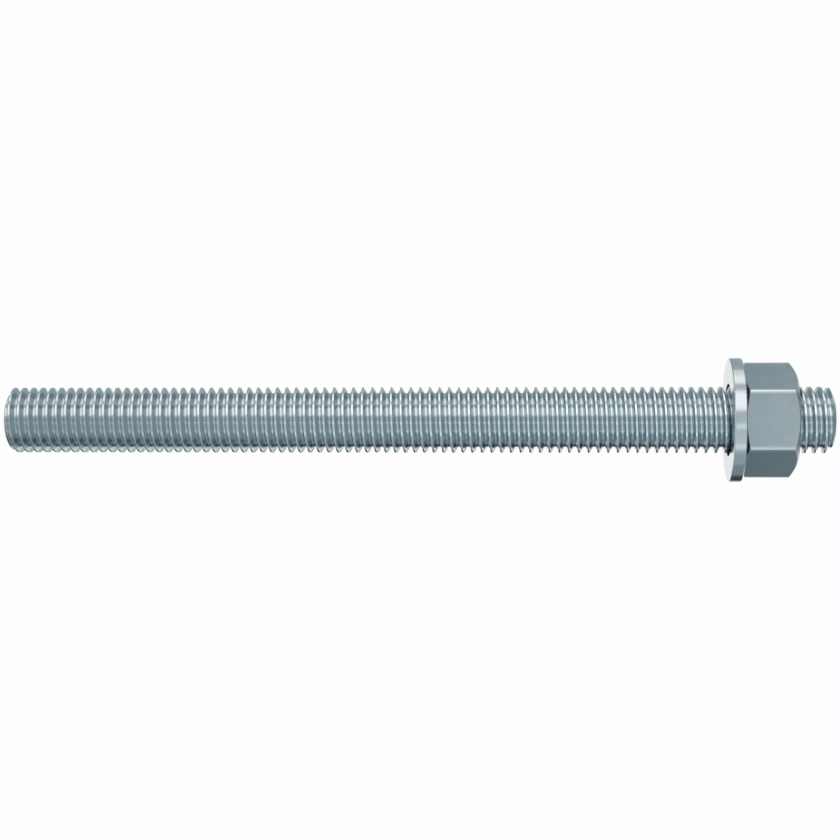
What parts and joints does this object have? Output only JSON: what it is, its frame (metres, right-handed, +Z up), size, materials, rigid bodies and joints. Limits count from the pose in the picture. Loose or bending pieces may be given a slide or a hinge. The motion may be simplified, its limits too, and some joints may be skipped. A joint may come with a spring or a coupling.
{
  "type": "chemical anchor rod",
  "caption": "Fully threaded steel rod for bonding into a drilled hole, with a plain washer and a hexagon nut that clamps what is fastened.",
  "frame": {"origin": "on the rod's axis, in the face with which the washer bears on the fixture", "axes": "+X along the rod from the setting end to the free end, +Z up with a corner of the nut up and its flats to the front and rear"},
  "size_m": [0.1503, 0.0222, 0.0222],
  "materials": {
    "rod": "bright zinc plate on a rolled thread",
    "washer": "bright zinc plate on a punched washer",
    "nut": "satin zinc plate on a cold-formed nut"
  },
  "bodies": {
    "rod": {"threaded_rod": "rod"},
    "washer": {"washer": "washer"},
    "nut": {"hex_nut": "nut"}
  },
  "joints": [
    {"name": "washer_travel", "type": "slide", "parent": "rod", "child": "washer", "axis": [1, 0, 0], "range_m": [-0.1313, 0.0067]},
    {"name": "nut_turn", "type": "hinge", "parent": "washer", "child": "nut", "pos_m": [0.0022, 0, 0], "axis": [1, 0, 0], "range_deg": [-27000, 1368]}
  ],
  "couplings": [
    {"joint": "washer_travel", "follows": "nut_turn", "m_per_rad": 0.00027852}
  ]
}
